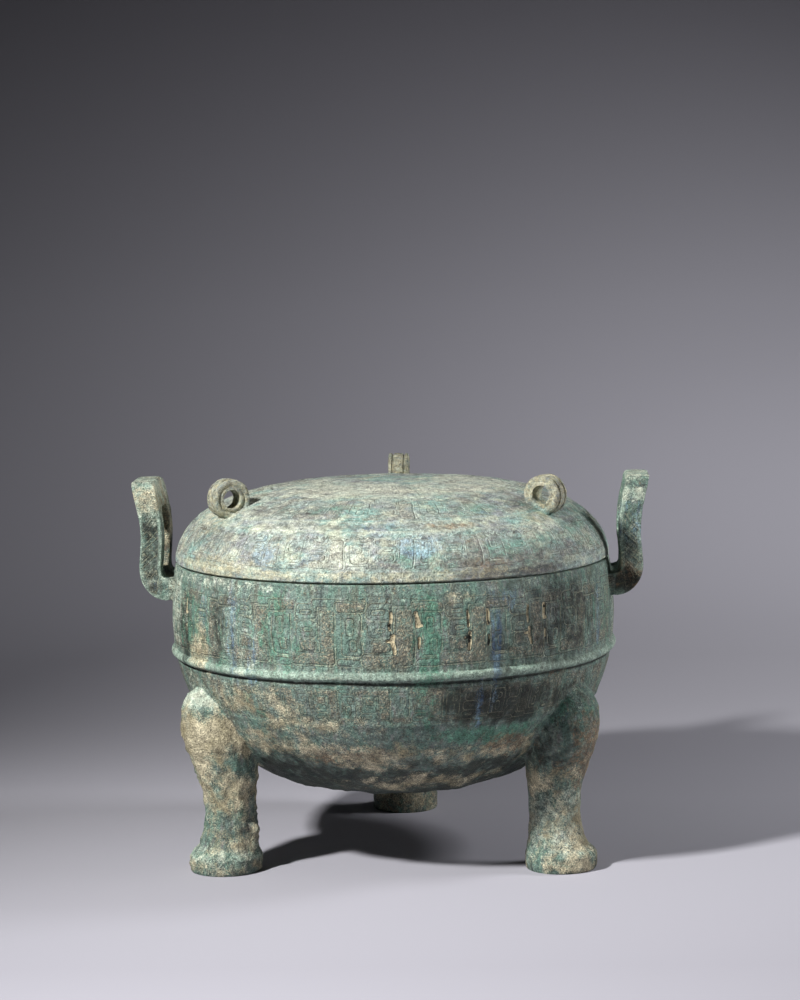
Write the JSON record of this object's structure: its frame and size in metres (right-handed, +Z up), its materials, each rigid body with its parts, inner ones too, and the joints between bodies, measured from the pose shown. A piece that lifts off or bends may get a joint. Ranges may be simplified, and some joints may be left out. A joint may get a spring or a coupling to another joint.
{
  "type": "bronze ding vessel",
  "caption": "Round lidded bronze cauldron on hoof-shaped legs, with upright S-curved handles, a domed lid with ring knobs and bands of low interlaced relief under a green patina.",
  "frame": {"origin": "the point where the vessel's axis meets the floor, in the plane of the feet's undersides", "axes": "+Z up along the vessel's axis, X through the two handles, +Y towards the single rear leg and the rear knob"},
  "size_m": [0.3396, 0.2986, 0.2545],
  "materials": {
    "body_bronze": "matte corroded bronze: green, blue and brown patina with tan earth",
    "lid_bronze": "matte corroded bronze: pale grey-green patina with blue patches"
  },
  "bodies": {
    "root": {"cauldron": "body_bronze", "lid": "lid_bronze"}
  },
  "joints": []
}
